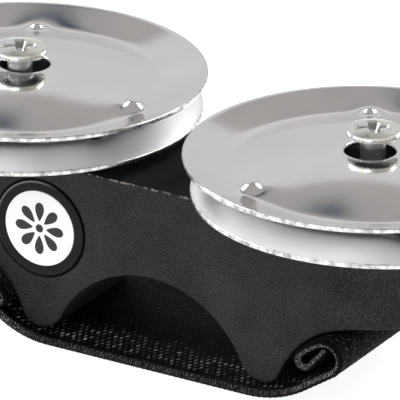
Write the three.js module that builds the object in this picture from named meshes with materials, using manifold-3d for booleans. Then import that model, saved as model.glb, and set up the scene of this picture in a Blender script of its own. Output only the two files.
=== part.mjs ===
// Two-finger jingle block: a black body with two finger-arch feet, two pairs of loose steel
// jingles on pan-head screws, and an elastic finger strap tacked under the feet.
// Millimetres, +Z up. X runs from jingle to jingle, the label faces -Y.
// The origin is the centre of the strap's underside, where the part rests.

import * as THREE from 'three';
import { mergeVertices } from 'three/addons/utils/BufferGeometryUtils.js';
import Module from 'manifold-3d';

const wasm = await Module();
wasm.setup();

// ---- Driving dimensions ----

// Gap kept between pieces that touch.
const GAP = 0.3;

// Body: a stadium in plan, a flat top, and two feet with a finger arch between them.
const BODY_TOP = 27.75;
const BODY_DEPTH = 24;
const POST_X = 29.6;
const TOP_EDGE_ROUND = 0.6;
const ARCH_DEPTH = 14.1;
const END_DEPTH = 14.6;
const FOOT_DEPTH = 26.05;
const FOOT_X = 18.8;
const TOE_INNER_R = 4;
const TOE_OUTER_R = 3;
const FLANK_R = 14.5;

// Label: a white disc inside a black ring, let into the front face.
const LABEL_X = -18.75;
const LABEL_DEPTH = 10.35;
const LABEL_R = 7.35;
const LABEL_FACE_R = 5.8;
const LABEL_T = 0.4;
const LABEL_SEAT = 0.55;

// Jingles: domed steel discs with a raised rim, in pairs set back to back.
const JINGLE_R = 27;
const JINGLE_T = 0.7;
const JINGLE_HOLE_R = 3.75;
const HOLE_LIP = 0.3;
const FOLD_R = 20.7;
const FOLD_DROP = 2.1;
const FOLD_SOFTNESS = 0.5;
const DOME_RISE = 0.95;
const UPPER_RIM_ABOVE_BODY = 7.85;
const LOWER_RIM_ABOVE_BODY = 1.95;
const DIMPLE_COUNT = 3;
const DIMPLE_RING_R = 19.6;
const DIMPLE_R = 1.9;
const DIMPLE_RISE = 1;

// Screws and the spacer washers under the jingles.
const HEAD_R = 3.9;
const HEAD_BAND = 0.95;
const HEAD_DOME = 0.5;
const HEAD_EDGE = 0.15;
const HEAD_ABOVE_JINGLE = 2.0;
const SHANK_R = 1.85;
const SHANK_FILLET = 0.3;
const BORE_DEPTH = 13;
const TIP_LENGTH = 2.5;
const RECESS_ARM = 2.3;
const RECESS_TIP = 0.6;
const RECESS_WIDTH = 0.85;
const RECESS_DEPTH = 1.1;
const RECESS_TURN = THREE.MathUtils.degToRad(36);
const WASHER_R = 5;
const WASHER_LIFT = 0.25;
const WASHER_T = 0.6;

// Strap: flat under the arch, up round each end, down along the foot's flank as a hem, and
// folded back so that a short tail covers the tack heads. Angles are in degrees. Those of the
// turn, the fold and the tacks are seen from the flank's centre of curvature.
const STRAP_T = 1.1;
const STRAP_WIDTH = 28.6;
const RAMP_ANGLE = 34;
const TAIL_LENGTH = 2.6;
const STRAP_END = {
  left: { turnAt: 129, turnR: 2, foldAt: 146.5, foldR: 1, tailRise: 53, rampR: 15, tackAt: 139 },
  right: { turnAt: 117.5, turnR: 2.4, foldAt: 133, foldR: 1.25, tailRise: 50, rampR: 17, tackAt: 127.5 },
};

// Tacks: two through each hem of the strap, into the flank.
const TACK_Y = 7;
const TACK_HEAD_R = 1.4;
const TACK_HEAD_T = 0.35;
const TACK_HEAD_GAP = 0.25;
const TACK_SHANK_R = 0.6;
const TACK_BITE = 5.5;

// How each loose jingle lies against its screw: sideways offset and turn of its dimples.
const REST = {
  left: { upper: [-0.1, 1.5, -4], lower: [-0.4, 0.7, 25] },
  right: { upper: [0, -0.8, -1], lower: [1.4, -0.8, 50] },
};

const SIDES = { left: -1, right: 1 };

// ---- Derived places ----

const FLANK_Z = BODY_TOP - END_DEPTH - FLANK_R;
const FLANK_RISE = FOOT_DEPTH - END_DEPTH;
const FLANK_REACH = FLANK_R + TOE_OUTER_R;
const FLANK_X = FOOT_X + Math.sqrt(2 * FLANK_RISE * FLANK_REACH - FLANK_RISE ** 2);
const JINGLE_TOP = BODY_TOP + UPPER_RIM_ABOVE_BODY + DOME_RISE;
const HEM_R = FLANK_R - GAP - STRAP_T / 2;
const TACK_HEAD_BASE = HEM_R - STRAP_T / 2 - TACK_HEAD_GAP;

// ---- Materials ----

function material(color, roughness, metalness) {
  return new THREE.MeshStandardMaterial({ color, roughness, metalness });
}

const moulded = () => material(0x161412, 0.75, 0);
const labelBlack = () => material(0x0b0b0b, 0.4, 0);
const labelWhite = () => material(0xf2f2ee, 0.45, 0);
const polishedSteel = () => material(0xc4c4c8, 0.2, 1);
const zinc = () => material(0xc9c8bd, 0.3, 1);
const elastic = () => material(0x121113, 0.95, 0);

// ---- Solids ----

function toSolid(geometry) {
  const plain = geometry.index ? geometry.toNonIndexed() : geometry.clone();
  plain.deleteAttribute('normal');
  plain.deleteAttribute('uv');
  const merged = mergeVertices(plain, 1e-4);
  return new wasm.Manifold(new wasm.Mesh({
    numProp: 3,
    vertProperties: new Float32Array(merged.attributes.position.array),
    triVerts: new Uint32Array(merged.index.array),
  }));
}

function toGeometry(solid) {
  const mesh = solid.getMesh();
  const geometry = new THREE.BufferGeometry();
  geometry.setAttribute('position', new THREE.BufferAttribute(mesh.vertProperties, 3));
  geometry.setIndex(new THREE.BufferAttribute(mesh.triVerts, 1));
  const faceted = geometry.toNonIndexed();
  faceted.computeVertexNormals();
  return faceted;
}

function cylinder(radius, height, segments) {
  const geometry = new THREE.CylinderGeometry(radius, radius, height, segments);
  return geometry.rotateX(Math.PI / 2);
}

function lathe(points, segments) {
  const profile = points.map(([r, z]) => new THREE.Vector2(r, z));
  return new THREE.LatheGeometry(profile, segments).rotateX(Math.PI / 2);
}

// A shape drawn in X and Z, given a thickness along Y and centred on Y = 0.
function extrudeAlongY(shape, width, curveSegments) {
  const settings = { depth: width, bevelEnabled: false, curveSegments };
  const geometry = new THREE.ExtrudeGeometry(shape, settings);
  return geometry.rotateX(Math.PI / 2).translate(0, width / 2, 0);
}

// ---- Body ----

function bodyProfile() {
  const topZ = BODY_TOP + 1;
  const endX = POST_X + BODY_DEPTH;
  const endZ = BODY_TOP - END_DEPTH;
  const toeZ = BODY_TOP - FOOT_DEPTH;
  const archRise = FOOT_DEPTH - ARCH_DEPTH;
  const archReach = (FOOT_X ** 2 + archRise ** 2) / (2 * archRise);
  const archR = archReach - TOE_INNER_R;
  const archZ = BODY_TOP - ARCH_DEPTH - archR;
  const toeInnerZ = toeZ + TOE_INNER_R;
  const toeOuterZ = toeZ + TOE_OUTER_R;
  const flankAngle = Math.atan2(toeOuterZ - FLANK_Z, FOOT_X - FLANK_X);
  const archAngle = Math.atan2(toeInnerZ - archZ, FOOT_X);
  const down = -Math.PI / 2;

  const shape = new THREE.Shape();
  shape.moveTo(-endX, topZ);
  shape.lineTo(-endX, endZ);
  shape.lineTo(-FLANK_X, endZ);
  shape.absarc(-FLANK_X, FLANK_Z, FLANK_R, Math.PI / 2, Math.PI - flankAngle, true);
  shape.absarc(-FOOT_X, toeOuterZ, TOE_OUTER_R, -flankAngle, down, false);
  shape.absarc(-FOOT_X, toeInnerZ, TOE_INNER_R, down, -archAngle, false);
  shape.absarc(0, archZ, archR, Math.PI - archAngle, archAngle, true);
  shape.absarc(FOOT_X, toeInnerZ, TOE_INNER_R, archAngle - Math.PI, down, false);
  shape.absarc(FOOT_X, toeOuterZ, TOE_OUTER_R, down, flankAngle - Math.PI, false);
  shape.absarc(FLANK_X, FLANK_Z, FLANK_R, flankAngle, Math.PI / 2, true);
  shape.lineTo(endX, endZ);
  shape.lineTo(endX, topZ);
  return shape;
}

function stadiumPrism() {
  const radius = BODY_DEPTH / 2;
  const shape = new THREE.Shape();
  shape.absarc(POST_X, 0, radius, -Math.PI / 2, Math.PI / 2, false);
  shape.absarc(-POST_X, 0, radius, Math.PI / 2, Math.PI * 1.5, false);
  const geometry = new THREE.ExtrudeGeometry(shape, {
    depth: BODY_TOP,
    curveSegments: 14,
    bevelThickness: TOP_EDGE_ROUND,
    bevelSize: TOP_EDGE_ROUND,
    bevelOffset: -TOP_EDGE_ROUND,
    bevelSegments: 2,
  });
  return geometry.translate(0, 0, -TOP_EDGE_ROUND);
}

// A cylinder along a tack's axis, from one distance to another off the flank's centre.
function tackPin({ word, y }, radius, from, to, segments) {
  const side = SIDES[word];
  const angle = THREE.MathUtils.degToRad(STRAP_END[word].tackAt);
  const middle = (from + to) / 2;
  const geometry = cylinder(radius, to - from, segments);
  geometry.rotateY(Math.PI / 2 - angle);
  const x = FLANK_X + middle * Math.cos(angle);
  geometry.translate(x, side * y, FLANK_Z + middle * Math.sin(angle));
  if (side < 0) geometry.rotateZ(Math.PI);
  return geometry;
}

function tackPlaces() {
  const ends = [['front', -TACK_Y], ['back', TACK_Y]];
  return Object.keys(SIDES).flatMap((word) => ends.map(([end, y]) => ({ word, end, y })));
}

function bodyGeometry() {
  const slab = toSolid(extrudeAlongY(bodyProfile(), BODY_DEPTH + 2, 10));
  let body = slab.intersect(toSolid(stadiumPrism()));
  for (const side of Object.values(SIDES)) {
    const bore = cylinder(SHANK_R + GAP, 2 * BORE_DEPTH, 24);
    body = body.subtract(toSolid(bore.translate(side * POST_X, 0, BODY_TOP)));
  }
  for (const place of tackPlaces()) {
    const bite = FLANK_R + TACK_BITE + GAP;
    body = body.subtract(toSolid(tackPin(place, TACK_SHANK_R + GAP, HEM_R, bite, 12)));
  }
  const seat = new THREE.CylinderGeometry(LABEL_R + GAP, LABEL_R + GAP, 2 * LABEL_SEAT, 48);
  seat.translate(LABEL_X, -BODY_DEPTH / 2, BODY_TOP - LABEL_DEPTH);
  return toGeometry(body.subtract(toSolid(seat)));
}

// ---- Label ----

function labelPlace(mesh) {
  const back = -BODY_DEPTH / 2 + LABEL_SEAT - GAP;
  mesh.position.set(LABEL_X, back - LABEL_T / 2, BODY_TOP - LABEL_DEPTH);
  return mesh;
}

function labelRing() {
  const inner = LABEL_FACE_R + GAP;
  const half = LABEL_T / 2;
  const corners = [[inner, -half], [LABEL_R, -half], [LABEL_R, half], [inner, half]];
  const geometry = lathe([...corners, corners[0]], 48).rotateX(Math.PI / 2);
  return labelPlace(new THREE.Mesh(geometry, labelBlack()));
}

function labelFace() {
  const geometry = new THREE.CylinderGeometry(LABEL_FACE_R, LABEL_FACE_R, LABEL_T, 48);
  return labelPlace(new THREE.Mesh(geometry, labelWhite()));
}

// ---- Jingles ----

// Height of a jingle's top surface over its rim: a dome and a rising rim that meet in a soft fold.
function jingleHeight(r) {
  const domeR = (FOLD_R ** 2 + (DOME_RISE + FOLD_DROP) ** 2) / (2 * (DOME_RISE + FOLD_DROP));
  const dome = DOME_RISE - domeR + Math.sqrt(domeR ** 2 - r ** 2);
  const rim = (r - JINGLE_R) * (FOLD_DROP / (JINGLE_R - FOLD_R));
  const apart = dome - rim;
  return (dome + rim + Math.sqrt(apart ** 2 + FOLD_SOFTNESS ** 2)) / 2;
}

function jingleProfile() {
  const first = JINGLE_HOLE_R + HOLE_LIP;
  const domeStep = (FOLD_R - 1 - first) / 3;
  const dome = [0, 1, 2, 3].map((i) => first + i * domeStep);
  const radii = [...dome, FOLD_R, FOLD_R + 1, JINGLE_R];
  const bottom = radii.map((r) => [r, jingleHeight(r) - JINGLE_T]);
  const top = radii.map((r) => [r, jingleHeight(r)]).reverse();
  const lipTop = jingleHeight(first) - HOLE_LIP;
  const lip = [[JINGLE_HOLE_R, lipTop], [JINGLE_HOLE_R, lipTop - (JINGLE_T - 2 * HOLE_LIP)]];
  return [...bottom, ...top, ...lip, bottom[0]];
}

// A ball on the dimple circle; two of them, one inside the other, make the dimple's wall.
function dimpleBall(ballR, centreZ, angle) {
  const ball = new THREE.SphereGeometry(ballR, 14, 8).rotateX(Math.PI / 2);
  ball.translate(DIMPLE_RING_R, 0, centreZ);
  return toSolid(ball.rotateZ(angle));
}

function jingleGeometry() {
  const sheetTop = jingleHeight(DIMPLE_RING_R);
  const ballR = (DIMPLE_R ** 2 + DIMPLE_RISE ** 2) / (2 * DIMPLE_RISE);
  const centreZ = sheetTop + DIMPLE_RISE - ballR;
  // The outer ball is kept only above the middle of the sheet.
  const keep = new THREE.BoxGeometry(4 * JINGLE_R, 4 * JINGLE_R, 4 * DIMPLE_RISE);
  const above = toSolid(keep.translate(0, 0, sheetTop - JINGLE_T / 2 + 2 * DIMPLE_RISE));
  let plate = toSolid(lathe(jingleProfile(), 48));
  for (let i = 0; i < DIMPLE_COUNT; i += 1) {
    const angle = (i * 2 * Math.PI) / DIMPLE_COUNT;
    plate = plate.add(dimpleBall(ballR, centreZ, angle).intersect(above));
    plate = plate.subtract(dimpleBall(ballR - JINGLE_T, centreZ, angle));
  }
  return toGeometry(plate);
}

function jingle(side, level, place) {
  const [x, y, turn] = place;
  const mesh = new THREE.Mesh(jingleGeometry(), polishedSteel());
  const height = level === 'upper' ? UPPER_RIM_ABOVE_BODY : LOWER_RIM_ABOVE_BODY;
  mesh.rotation.z = THREE.MathUtils.degToRad(turn);
  // The lower jingle is the same disc turned over.
  if (level === 'lower') mesh.rotation.x = Math.PI;
  mesh.position.set(side * POST_X + x, y, BODY_TOP + height);
  return mesh;
}

// ---- Screws and washers ----

// One arm of the cross recess: a slot through the head's middle that narrows as it goes down.
function recessArm(angle, mouthZ) {
  const shape = new THREE.Shape();
  shape.moveTo(-RECESS_ARM, HEAD_BAND);
  shape.lineTo(-RECESS_ARM, 0);
  shape.lineTo(-RECESS_TIP, -RECESS_DEPTH);
  shape.lineTo(RECESS_TIP, -RECESS_DEPTH);
  shape.lineTo(RECESS_ARM, 0);
  shape.lineTo(RECESS_ARM, HEAD_BAND);
  const geometry = extrudeAlongY(shape, RECESS_WIDTH, 1).rotateZ(angle);
  return toSolid(geometry.translate(0, 0, mouthZ));
}

// Height of the head's crown over its side band.
function crownHeight(r) {
  return HEAD_DOME * (1 - (r / HEAD_R) ** 2);
}

// The screw's local origin is the middle of its head's underside.
function screwGeometry() {
  const boreFloor = BODY_TOP - BORE_DEPTH + GAP - (JINGLE_TOP + HEAD_ABOVE_JINGLE);
  const profile = [
    [0, boreFloor],
    [SHANK_R, boreFloor + TIP_LENGTH],
    [SHANK_R, -SHANK_FILLET],
    [SHANK_R + SHANK_FILLET, 0],
    [HEAD_R - HEAD_EDGE, 0],
    [HEAD_R, HEAD_EDGE],
    ...[1, 0.85, 0.5, 0].map((share) => [share * HEAD_R, HEAD_BAND + crownHeight(share * HEAD_R)]),
  ];
  let screw = toSolid(lathe(profile, 40));
  for (const angle of [RECESS_TURN, RECESS_TURN + Math.PI / 2]) {
    screw = screw.subtract(recessArm(angle, HEAD_BAND + crownHeight(RECESS_ARM)));
  }
  return toGeometry(screw);
}

function screw(side) {
  const mesh = new THREE.Mesh(screwGeometry(), zinc());
  mesh.position.set(side * POST_X, 0, JINGLE_TOP + HEAD_ABOVE_JINGLE);
  return mesh;
}

function washer(side) {
  const inner = SHANK_R + GAP;
  const corners = [[inner, 0], [WASHER_R, 0], [WASHER_R, WASHER_T], [inner, WASHER_T]];
  const mesh = new THREE.Mesh(lathe([...corners, corners[0]], 32), zinc());
  mesh.position.set(side * POST_X, 0, BODY_TOP + WASHER_LIFT);
  return mesh;
}

// ---- Strap ----

// The point at a radius and an angle from a centre.
function polar(centre, radius, angle) {
  const reach = new THREE.Vector2(Math.cos(angle), Math.sin(angle));
  return reach.multiplyScalar(radius).add(centre);
}

// The middle line of one half of the strap, drawn on the right: from the free tail to X = 0.
function strapLine(end) {
  const { turnR, foldR, rampR } = end;
  const foldAt = THREE.MathUtils.degToRad(end.foldAt);
  const turnAt = THREE.MathUtils.degToRad(end.turnAt);
  const tailRise = THREE.MathUtils.degToRad(end.tailRise);
  const rampAngle = THREE.MathUtils.degToRad(RAMP_ANGLE);
  const down = -Math.PI / 2;
  const floorZ = STRAP_T / 2;

  const flank = new THREE.Vector2(FLANK_X, FLANK_Z);
  const fold = polar(flank, HEM_R - foldR, foldAt);
  const turn = polar(flank, HEM_R - turnR, turnAt);
  const tailRoot = polar(fold, foldR, down + tailRise);
  const tailTip = polar(tailRoot, TAIL_LENGTH, tailRise);
  const rampTop = polar(turn, turnR, down + rampAngle);
  const curveZ = floorZ + rampR * (1 - Math.cos(rampAngle));
  const straightX = (rampTop.y - curveZ) / Math.tan(rampAngle);
  const rampX = rampTop.x - straightX - rampR * Math.sin(rampAngle);

  const line = new THREE.Path();
  line.moveTo(tailTip.x, tailTip.y);
  line.lineTo(tailRoot.x, tailRoot.y);
  line.absarc(fold.x, fold.y, foldR, down + tailRise, foldAt, true);
  line.absarc(flank.x, flank.y, HEM_R, foldAt, turnAt, true);
  line.absarc(turn.x, turn.y, turnR, turnAt, down + rampAngle, true);
  line.absarc(rampX, floorZ + rampR, rampR, down + rampAngle, down, true);
  line.lineTo(0, floorZ);
  return line.getPoints(6).filter((point) => point.x > 1);
}

// Both edges of a ribbon of the strap's thickness along a line of points.
function ribbonEdges(points) {
  const near = [];
  const far = [];
  points.forEach((point, i) => {
    const before = points[Math.max(i - 1, 0)];
    const after = points[Math.min(i + 1, points.length - 1)];
    const across = after.clone().sub(before).normalize();
    const offset = new THREE.Vector2(-across.y, across.x).multiplyScalar(STRAP_T / 2);
    near.push(point.clone().add(offset));
    far.push(point.clone().sub(offset));
  });
  return [near, far];
}

function strapGeometry() {
  const right = strapLine(STRAP_END.right);
  const left = strapLine(STRAP_END.left).map((point) => new THREE.Vector2(-point.x, point.y));
  const [near, far] = ribbonEdges([...right, ...left.reverse()]);
  const shape = new THREE.Shape([...near, ...far.reverse()]);
  let strap = toSolid(extrudeAlongY(shape, STRAP_WIDTH, 1));
  for (const place of tackPlaces()) {
    const hole = tackPin(place, TACK_SHANK_R + GAP, TACK_HEAD_BASE, FLANK_R, 12);
    strap = strap.subtract(toSolid(hole));
  }
  return toGeometry(strap);
}

// ---- Tacks ----

function tackGeometry(place) {
  const headTop = TACK_HEAD_BASE - TACK_HEAD_T;
  const tip = FLANK_R + TACK_BITE;
  const head = toSolid(tackPin(place, TACK_HEAD_R, headTop, TACK_HEAD_BASE, 20));
  const shank = toSolid(tackPin(place, TACK_SHANK_R, (headTop + TACK_HEAD_BASE) / 2, tip, 12));
  return toGeometry(head.add(shank));
}

// ---- Assembly ----

function assemble() {
  const group = new THREE.Group();
  const add = (name, mesh) => {
    mesh.name = name;
    group.add(mesh);
  };
  add('body', new THREE.Mesh(bodyGeometry(), moulded()));
  add('label_ring', labelRing());
  add('label_face', labelFace());
  for (const [word, side] of Object.entries(SIDES)) {
    add(`spacer_washer_${word}`, washer(side));
    add(`jingle_lower_${word}`, jingle(side, 'lower', REST[word].lower));
    add(`jingle_upper_${word}`, jingle(side, 'upper', REST[word].upper));
    add(`jingle_screw_${word}`, screw(side));
  }
  add('finger_strap', new THREE.Mesh(strapGeometry(), elastic()));
  for (const place of tackPlaces()) {
    add(`strap_tack_${place.word}_${place.end}`, new THREE.Mesh(tackGeometry(place), zinc()));
  }
  return group;
}

export default assemble();
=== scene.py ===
# The finger jingle block: one mesh for each CAD node, node materials, and a plain studio.
import math

import bmesh
import bpy
import numpy as np
from mathutils import Matrix, Vector


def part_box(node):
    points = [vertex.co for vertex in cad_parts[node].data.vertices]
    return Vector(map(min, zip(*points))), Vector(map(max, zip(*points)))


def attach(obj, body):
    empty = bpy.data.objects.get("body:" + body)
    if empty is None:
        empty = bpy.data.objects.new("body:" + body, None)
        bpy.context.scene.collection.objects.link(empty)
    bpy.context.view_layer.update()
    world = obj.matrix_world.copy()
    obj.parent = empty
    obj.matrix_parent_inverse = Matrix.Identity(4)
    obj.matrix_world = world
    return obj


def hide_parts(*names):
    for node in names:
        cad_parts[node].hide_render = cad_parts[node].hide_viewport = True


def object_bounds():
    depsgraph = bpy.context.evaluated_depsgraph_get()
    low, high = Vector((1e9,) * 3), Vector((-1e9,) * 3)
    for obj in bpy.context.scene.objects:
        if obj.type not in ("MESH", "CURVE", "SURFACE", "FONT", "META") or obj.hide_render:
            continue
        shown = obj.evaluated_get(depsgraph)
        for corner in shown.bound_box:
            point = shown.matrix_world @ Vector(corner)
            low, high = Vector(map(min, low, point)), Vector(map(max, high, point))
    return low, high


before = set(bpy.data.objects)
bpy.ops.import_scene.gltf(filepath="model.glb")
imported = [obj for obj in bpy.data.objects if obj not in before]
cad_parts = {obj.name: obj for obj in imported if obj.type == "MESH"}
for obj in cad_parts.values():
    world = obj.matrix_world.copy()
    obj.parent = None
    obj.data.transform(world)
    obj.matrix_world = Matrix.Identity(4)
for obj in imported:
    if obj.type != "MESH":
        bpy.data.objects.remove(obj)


def corners():
    low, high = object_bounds()
    return [list(low), list(high)]


CAD_BOX = corners()

# ---- Dimensions, in millimetres, in the frame's axes ----

MM = 0.001
SIDES = {"left": -1, "right": 1}

BODY_TOP = 27.75
HALF_DEPTH = 12.0
POST_X = 29.6
TOP_ROUND = 0.6
EDGE_ROUND = 0.3
ARCH_DEPTH = 14.1
END_DEPTH = 14.6
FOOT_DEPTH = 26.05
FOOT_X = 18.8
TOE_INNER_R = 4.0
TOE_OUTER_R = 3.0
FLANK_R = 14.5
FLANK_Z = BODY_TOP - END_DEPTH - FLANK_R
FLANK_RISE = FOOT_DEPTH - END_DEPTH
FLANK_REACH = FLANK_R + TOE_OUTER_R
FLANK_X = FOOT_X + math.sqrt(2 * FLANK_RISE * FLANK_REACH - FLANK_RISE ** 2)
BORE_R = 2.15
BORE_DEPTH = 13.0
BORE_FLARE = 0.35

LABEL_X = -18.75
LABEL_Z = BODY_TOP - 10.35
LABEL_R = 7.35
LABEL_FACE_R = 5.8
LABEL_T = 0.4
LABEL_SEAT = 0.55
LABEL_GAP = 0.08

JINGLE_R = 27.0
JINGLE_T = 0.7
JINGLE_EDGE = 0.16
JINGLE_HOLE_R = 3.75
HOLE_LIP = 0.3
FOLD_R = 20.7
FOLD_DROP = 2.1
FOLD_SOFTNESS = 0.5
DOME_RISE = 0.95
DIMPLE_COUNT = 3
DIMPLE_RING_R = 19.6
DIMPLE_REACH = 9.5
DIMPLE_BAND = (17.0, 22.6)
DIMPLE_SPAN = 9
NUB_R = 1.36
NUB_RISE = 1.04
SWELL_R = 3.2
SWELL_RISE = 0.18
JINGLE_TURN = {
    ("left", "upper"): -4,
    ("left", "lower"): 25,
    ("right", "upper"): -1,
    ("right", "lower"): 50,
}

HEAD_R = 3.9
HEAD_BAND = 0.95
HEAD_DOME = 0.5
HEAD_EDGE = 0.14
SHANK_R = 1.85
SHANK_FILLET = 0.3
SHANK_END = 12.7
THREAD_START = 13.2
TIP_LENGTH = 2.5
THREAD_ROOT_R = 1.45
THREAD_PITCH = 0.9
RECESS_TURN = math.radians(36)
RECESS_MOUTH = {"reach": 3.05, "half": 0.86, "cone": 1.62}
RECESS_FLOOR = {"reach": 0.62, "half": 0.27, "cone": 0.62}
RECESS_DEPTH = 1.25

WASHER_R = 5.0
WASHER_T = 0.6

# Angles along the strap's ends and at the tacks are seen from the flank's centre of curvature.
STRAP_T = 1.1
STRAP_HALF = 14.3
STRAP_GAP = 0.3
HEM_R = FLANK_R - STRAP_GAP - STRAP_T / 2
RAMP_ANGLE = 34
TAIL_LENGTH = 3.7
STITCH_ROW = 1.02
STITCH_STEP = 0.98
OVERLOCK_STEP = 0.40
OVERLOCK_WIDTH = 1.0
RIB_PITCH = 1.3
RIB_RISE = 0.035
RIDGE_RISE = 0.045
RIDGE_INSET = 0.55
OVERLOCK_PITCH = 0.92
OVERLOCK_RISE = 0.03
CURL_START = 28.0
STRAP_END = {
    "left": {
        "turn_at": 129, "turn_r": 2.0, "ramp_r": 15,
        "fold_at": 146.5, "fold_r": 1.0, "tail_rise": 53,
    },
    "right": {
        "turn_at": 117.5, "turn_r": 2.4, "ramp_r": 17,
        "fold_at": 133, "fold_r": 1.25, "tail_rise": 50,
    },
}

TACK_AT = {"left": 139, "right": 127.5}
TACK_Y = 7.0
TACK_HEAD_R = 1.4
TACK_HEAD_T = 0.35
TACK_HEAD_GAP = 0.25
TACK_DOME_R = 3.417
TACK_DOME_ANGLE = 24.19
TACK_SHANK_R = 0.6
TACK_BITE = 5.5
TACK_HEAD_BASE = HEM_R - STRAP_T / 2 - TACK_HEAD_GAP

# ---- Camera and lights ----

# Sensor and lens in millimetres. Azimuth, elevation and roll of the view in degrees.
SENSOR_WIDTH = 36
LENS = 703.64043
VIEW_ANGLES = (29.8392, 22.7711, 0.9098)
VIEW_TARGET = (1.1819, 0, BODY_TOP - 5.7204)
VIEW_DISTANCE = 1138.055

FLOOR_RADIUS = 6
FLOOR_DROP = 0.00005
LIGHT_AIM = Vector((0, 0, 0.025))
LIGHT_DISTANCE = 1.2
# Azimuth and elevation in degrees, width and height in metres, power in watts.
SOFTBOXES = {
    "softbox_left": (-98, 45, 0.45, 0.45, 7),
    "softbox_front": (-22, 46, 1.6, 0.42, 7.5),
    "softbox_right": (158, 45, 0.45, 0.45, 7),
}

# ---- Node materials ----


class Finish:
    """A Principled material whose nodes are made by short calls."""

    def __init__(self, name, **sockets):
        self.material = bpy.data.materials.new(name)
        self.material.use_nodes = True
        self.tree = self.material.node_tree
        self.shader = self.tree.nodes["Principled BSDF"]
        for key, value in sockets.items():
            self.set(key.replace("_", " ").capitalize(), value)

    def set(self, socket, value):
        found = {i.name.lower(): i for i in self.shader.inputs}[socket.lower()]
        self.feed(found, value)

    def feed(self, socket, value):
        if isinstance(value, bpy.types.NodeSocket):
            self.tree.links.new(value, socket)
        elif isinstance(value, (tuple, list)) and len(value) == 3 and socket.type == "RGBA":
            socket.default_value = (*value, 1)
        else:
            socket.default_value = value

    def node(self, kind, *values, **settings):
        made = self.tree.nodes.new("ShaderNode" + kind)
        for key, value in settings.items():
            setattr(made, key, value)
        for index, value in enumerate(values):
            if value is not None:
                self.feed(made.inputs[index], value)
        return made

    def math(self, operation, *values):
        return self.node("Math", *values, operation=operation).outputs[0]

    def clamp(self, value, low, high):
        """Runs smoothly from 0 where the value is at low to 1 where it is at high."""
        made = self.node("MapRange", value, low, high, 0, 1, interpolation_type="SMOOTHSTEP")
        return made.outputs[0]

    def mix(self, factor, first, second):
        made = self.node("Mix", data_type="RGBA")
        self.feed(made.inputs[0], factor)
        self.feed(made.inputs[6], first)
        self.feed(made.inputs[7], second)
        return made.outputs[2]

    def place(self):
        return self.node("TexCoord").outputs["Object"]

    def split(self, vector):
        return self.node("SeparateXYZ", vector).outputs

    def stretch(self, vector, x, y, z):
        return self.node("VectorMath", vector, (x, y, z), operation="MULTIPLY").outputs[0]

    def length(self, vector):
        return self.node("VectorMath", vector, operation="LENGTH").outputs["Value"]

    def flat_radius(self, x, y):
        return self.length(self.node("CombineXYZ", x, y, 0.0).outputs[0])

    def noise(self, vector, scale, detail=3.0, roughness=0.5):
        made = self.node("TexNoise")
        self.feed(made.inputs["Vector"], vector)
        made.inputs["Scale"].default_value = scale
        made.inputs["Detail"].default_value = detail
        made.inputs["Roughness"].default_value = roughness
        return made.outputs["Fac"]

    def cells(self, vector, scale):
        made = self.node("TexVoronoi")
        self.feed(made.inputs["Vector"], vector)
        made.inputs["Scale"].default_value = scale
        return made.outputs["Distance"]

    def bump(self, height, depth, below=None):
        made = self.node("Bump")
        self.feed(made.inputs["Height"], height)
        made.inputs["Distance"].default_value = depth * MM
        made.inputs["Strength"].default_value = 1
        if below is not None:
            self.feed(made.inputs["Normal"], below)
        return made.outputs[0]


def moulded_finish():
    """Matt black with a fine grain, painted shade on the flat top and inside the arches, and a thin
    light line on the top edge, partly wear and partly a painted highlight.
    """
    f = Finish("moulded_black_look")
    here = f.place()
    length, depth, height = f.split(here)
    grain = f.cells(here, 3300)
    speckle = f.noise(here, 4000, 3, 0.75)
    mottle = f.noise(here, 140, 4, 0.6)
    grey = f.math("MULTIPLY_ADD", speckle, 0.80, f.math("MULTIPLY", mottle, 0.20))
    colour = f.mix(f.clamp(grey, 0.39, 0.64), (0.0012, 0.0011, 0.0011), (0.0370, 0.0354, 0.0350))
    # Painted shade: the flat top is darkened, as it lies in the shade of the jingles over it.
    top = f.clamp(height, (BODY_TOP - 0.10) * MM, (BODY_TOP - 0.03) * MM)
    # A thin light line along the top edge: partly wear, partly a painted highlight where the rounded
    # edge catches the light.
    above = f.clamp(height, (BODY_TOP - 0.36) * MM, (BODY_TOP - 0.24) * MM)
    below = f.clamp(height, (BODY_TOP - 0.04) * MM, (BODY_TOP - 0.14) * MM)
    broken = f.clamp(f.noise(here, 1500, 3), 0.46, 0.62)
    edge_highlight_and_wear = f.math("MULTIPLY", f.math("MULTIPLY", above, below), broken)
    colour = f.mix(top, colour, (0.0035, 0.0030, 0.0027))
    # Painted shade: the faces inside the arches, under the body, are darkened.
    within = f.clamp(f.math("ABSOLUTE", depth), (HALF_DEPTH - 0.1) * MM, (HALF_DEPTH - 0.4) * MM)
    inside = f.math("MULTIPLY", within, f.clamp(f.math("ABSOLUTE", length), 28 * MM, 26 * MM))
    colour = f.mix(inside, colour, f.mix(speckle, (0.0012, 0.0011, 0.0011), (0.0034, 0.0030, 0.0028)))
    f.set("Base color", f.mix(edge_highlight_and_wear, colour, (0.20, 0.19, 0.18)))
    rough = f.math("MULTIPLY_ADD", mottle, 0.16, 0.52)
    rough = f.math("MULTIPLY_ADD", f.math("MAXIMUM", top, inside), 0.3, rough)
    f.set("Roughness", f.math("MULTIPLY_ADD", edge_highlight_and_wear, -0.2, rough))
    f.set("Specular ior level", 0.19)
    f.set("Normal", f.bump(speckle, 0.03, f.bump(grain, 0.03)))
    return f.material


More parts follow.
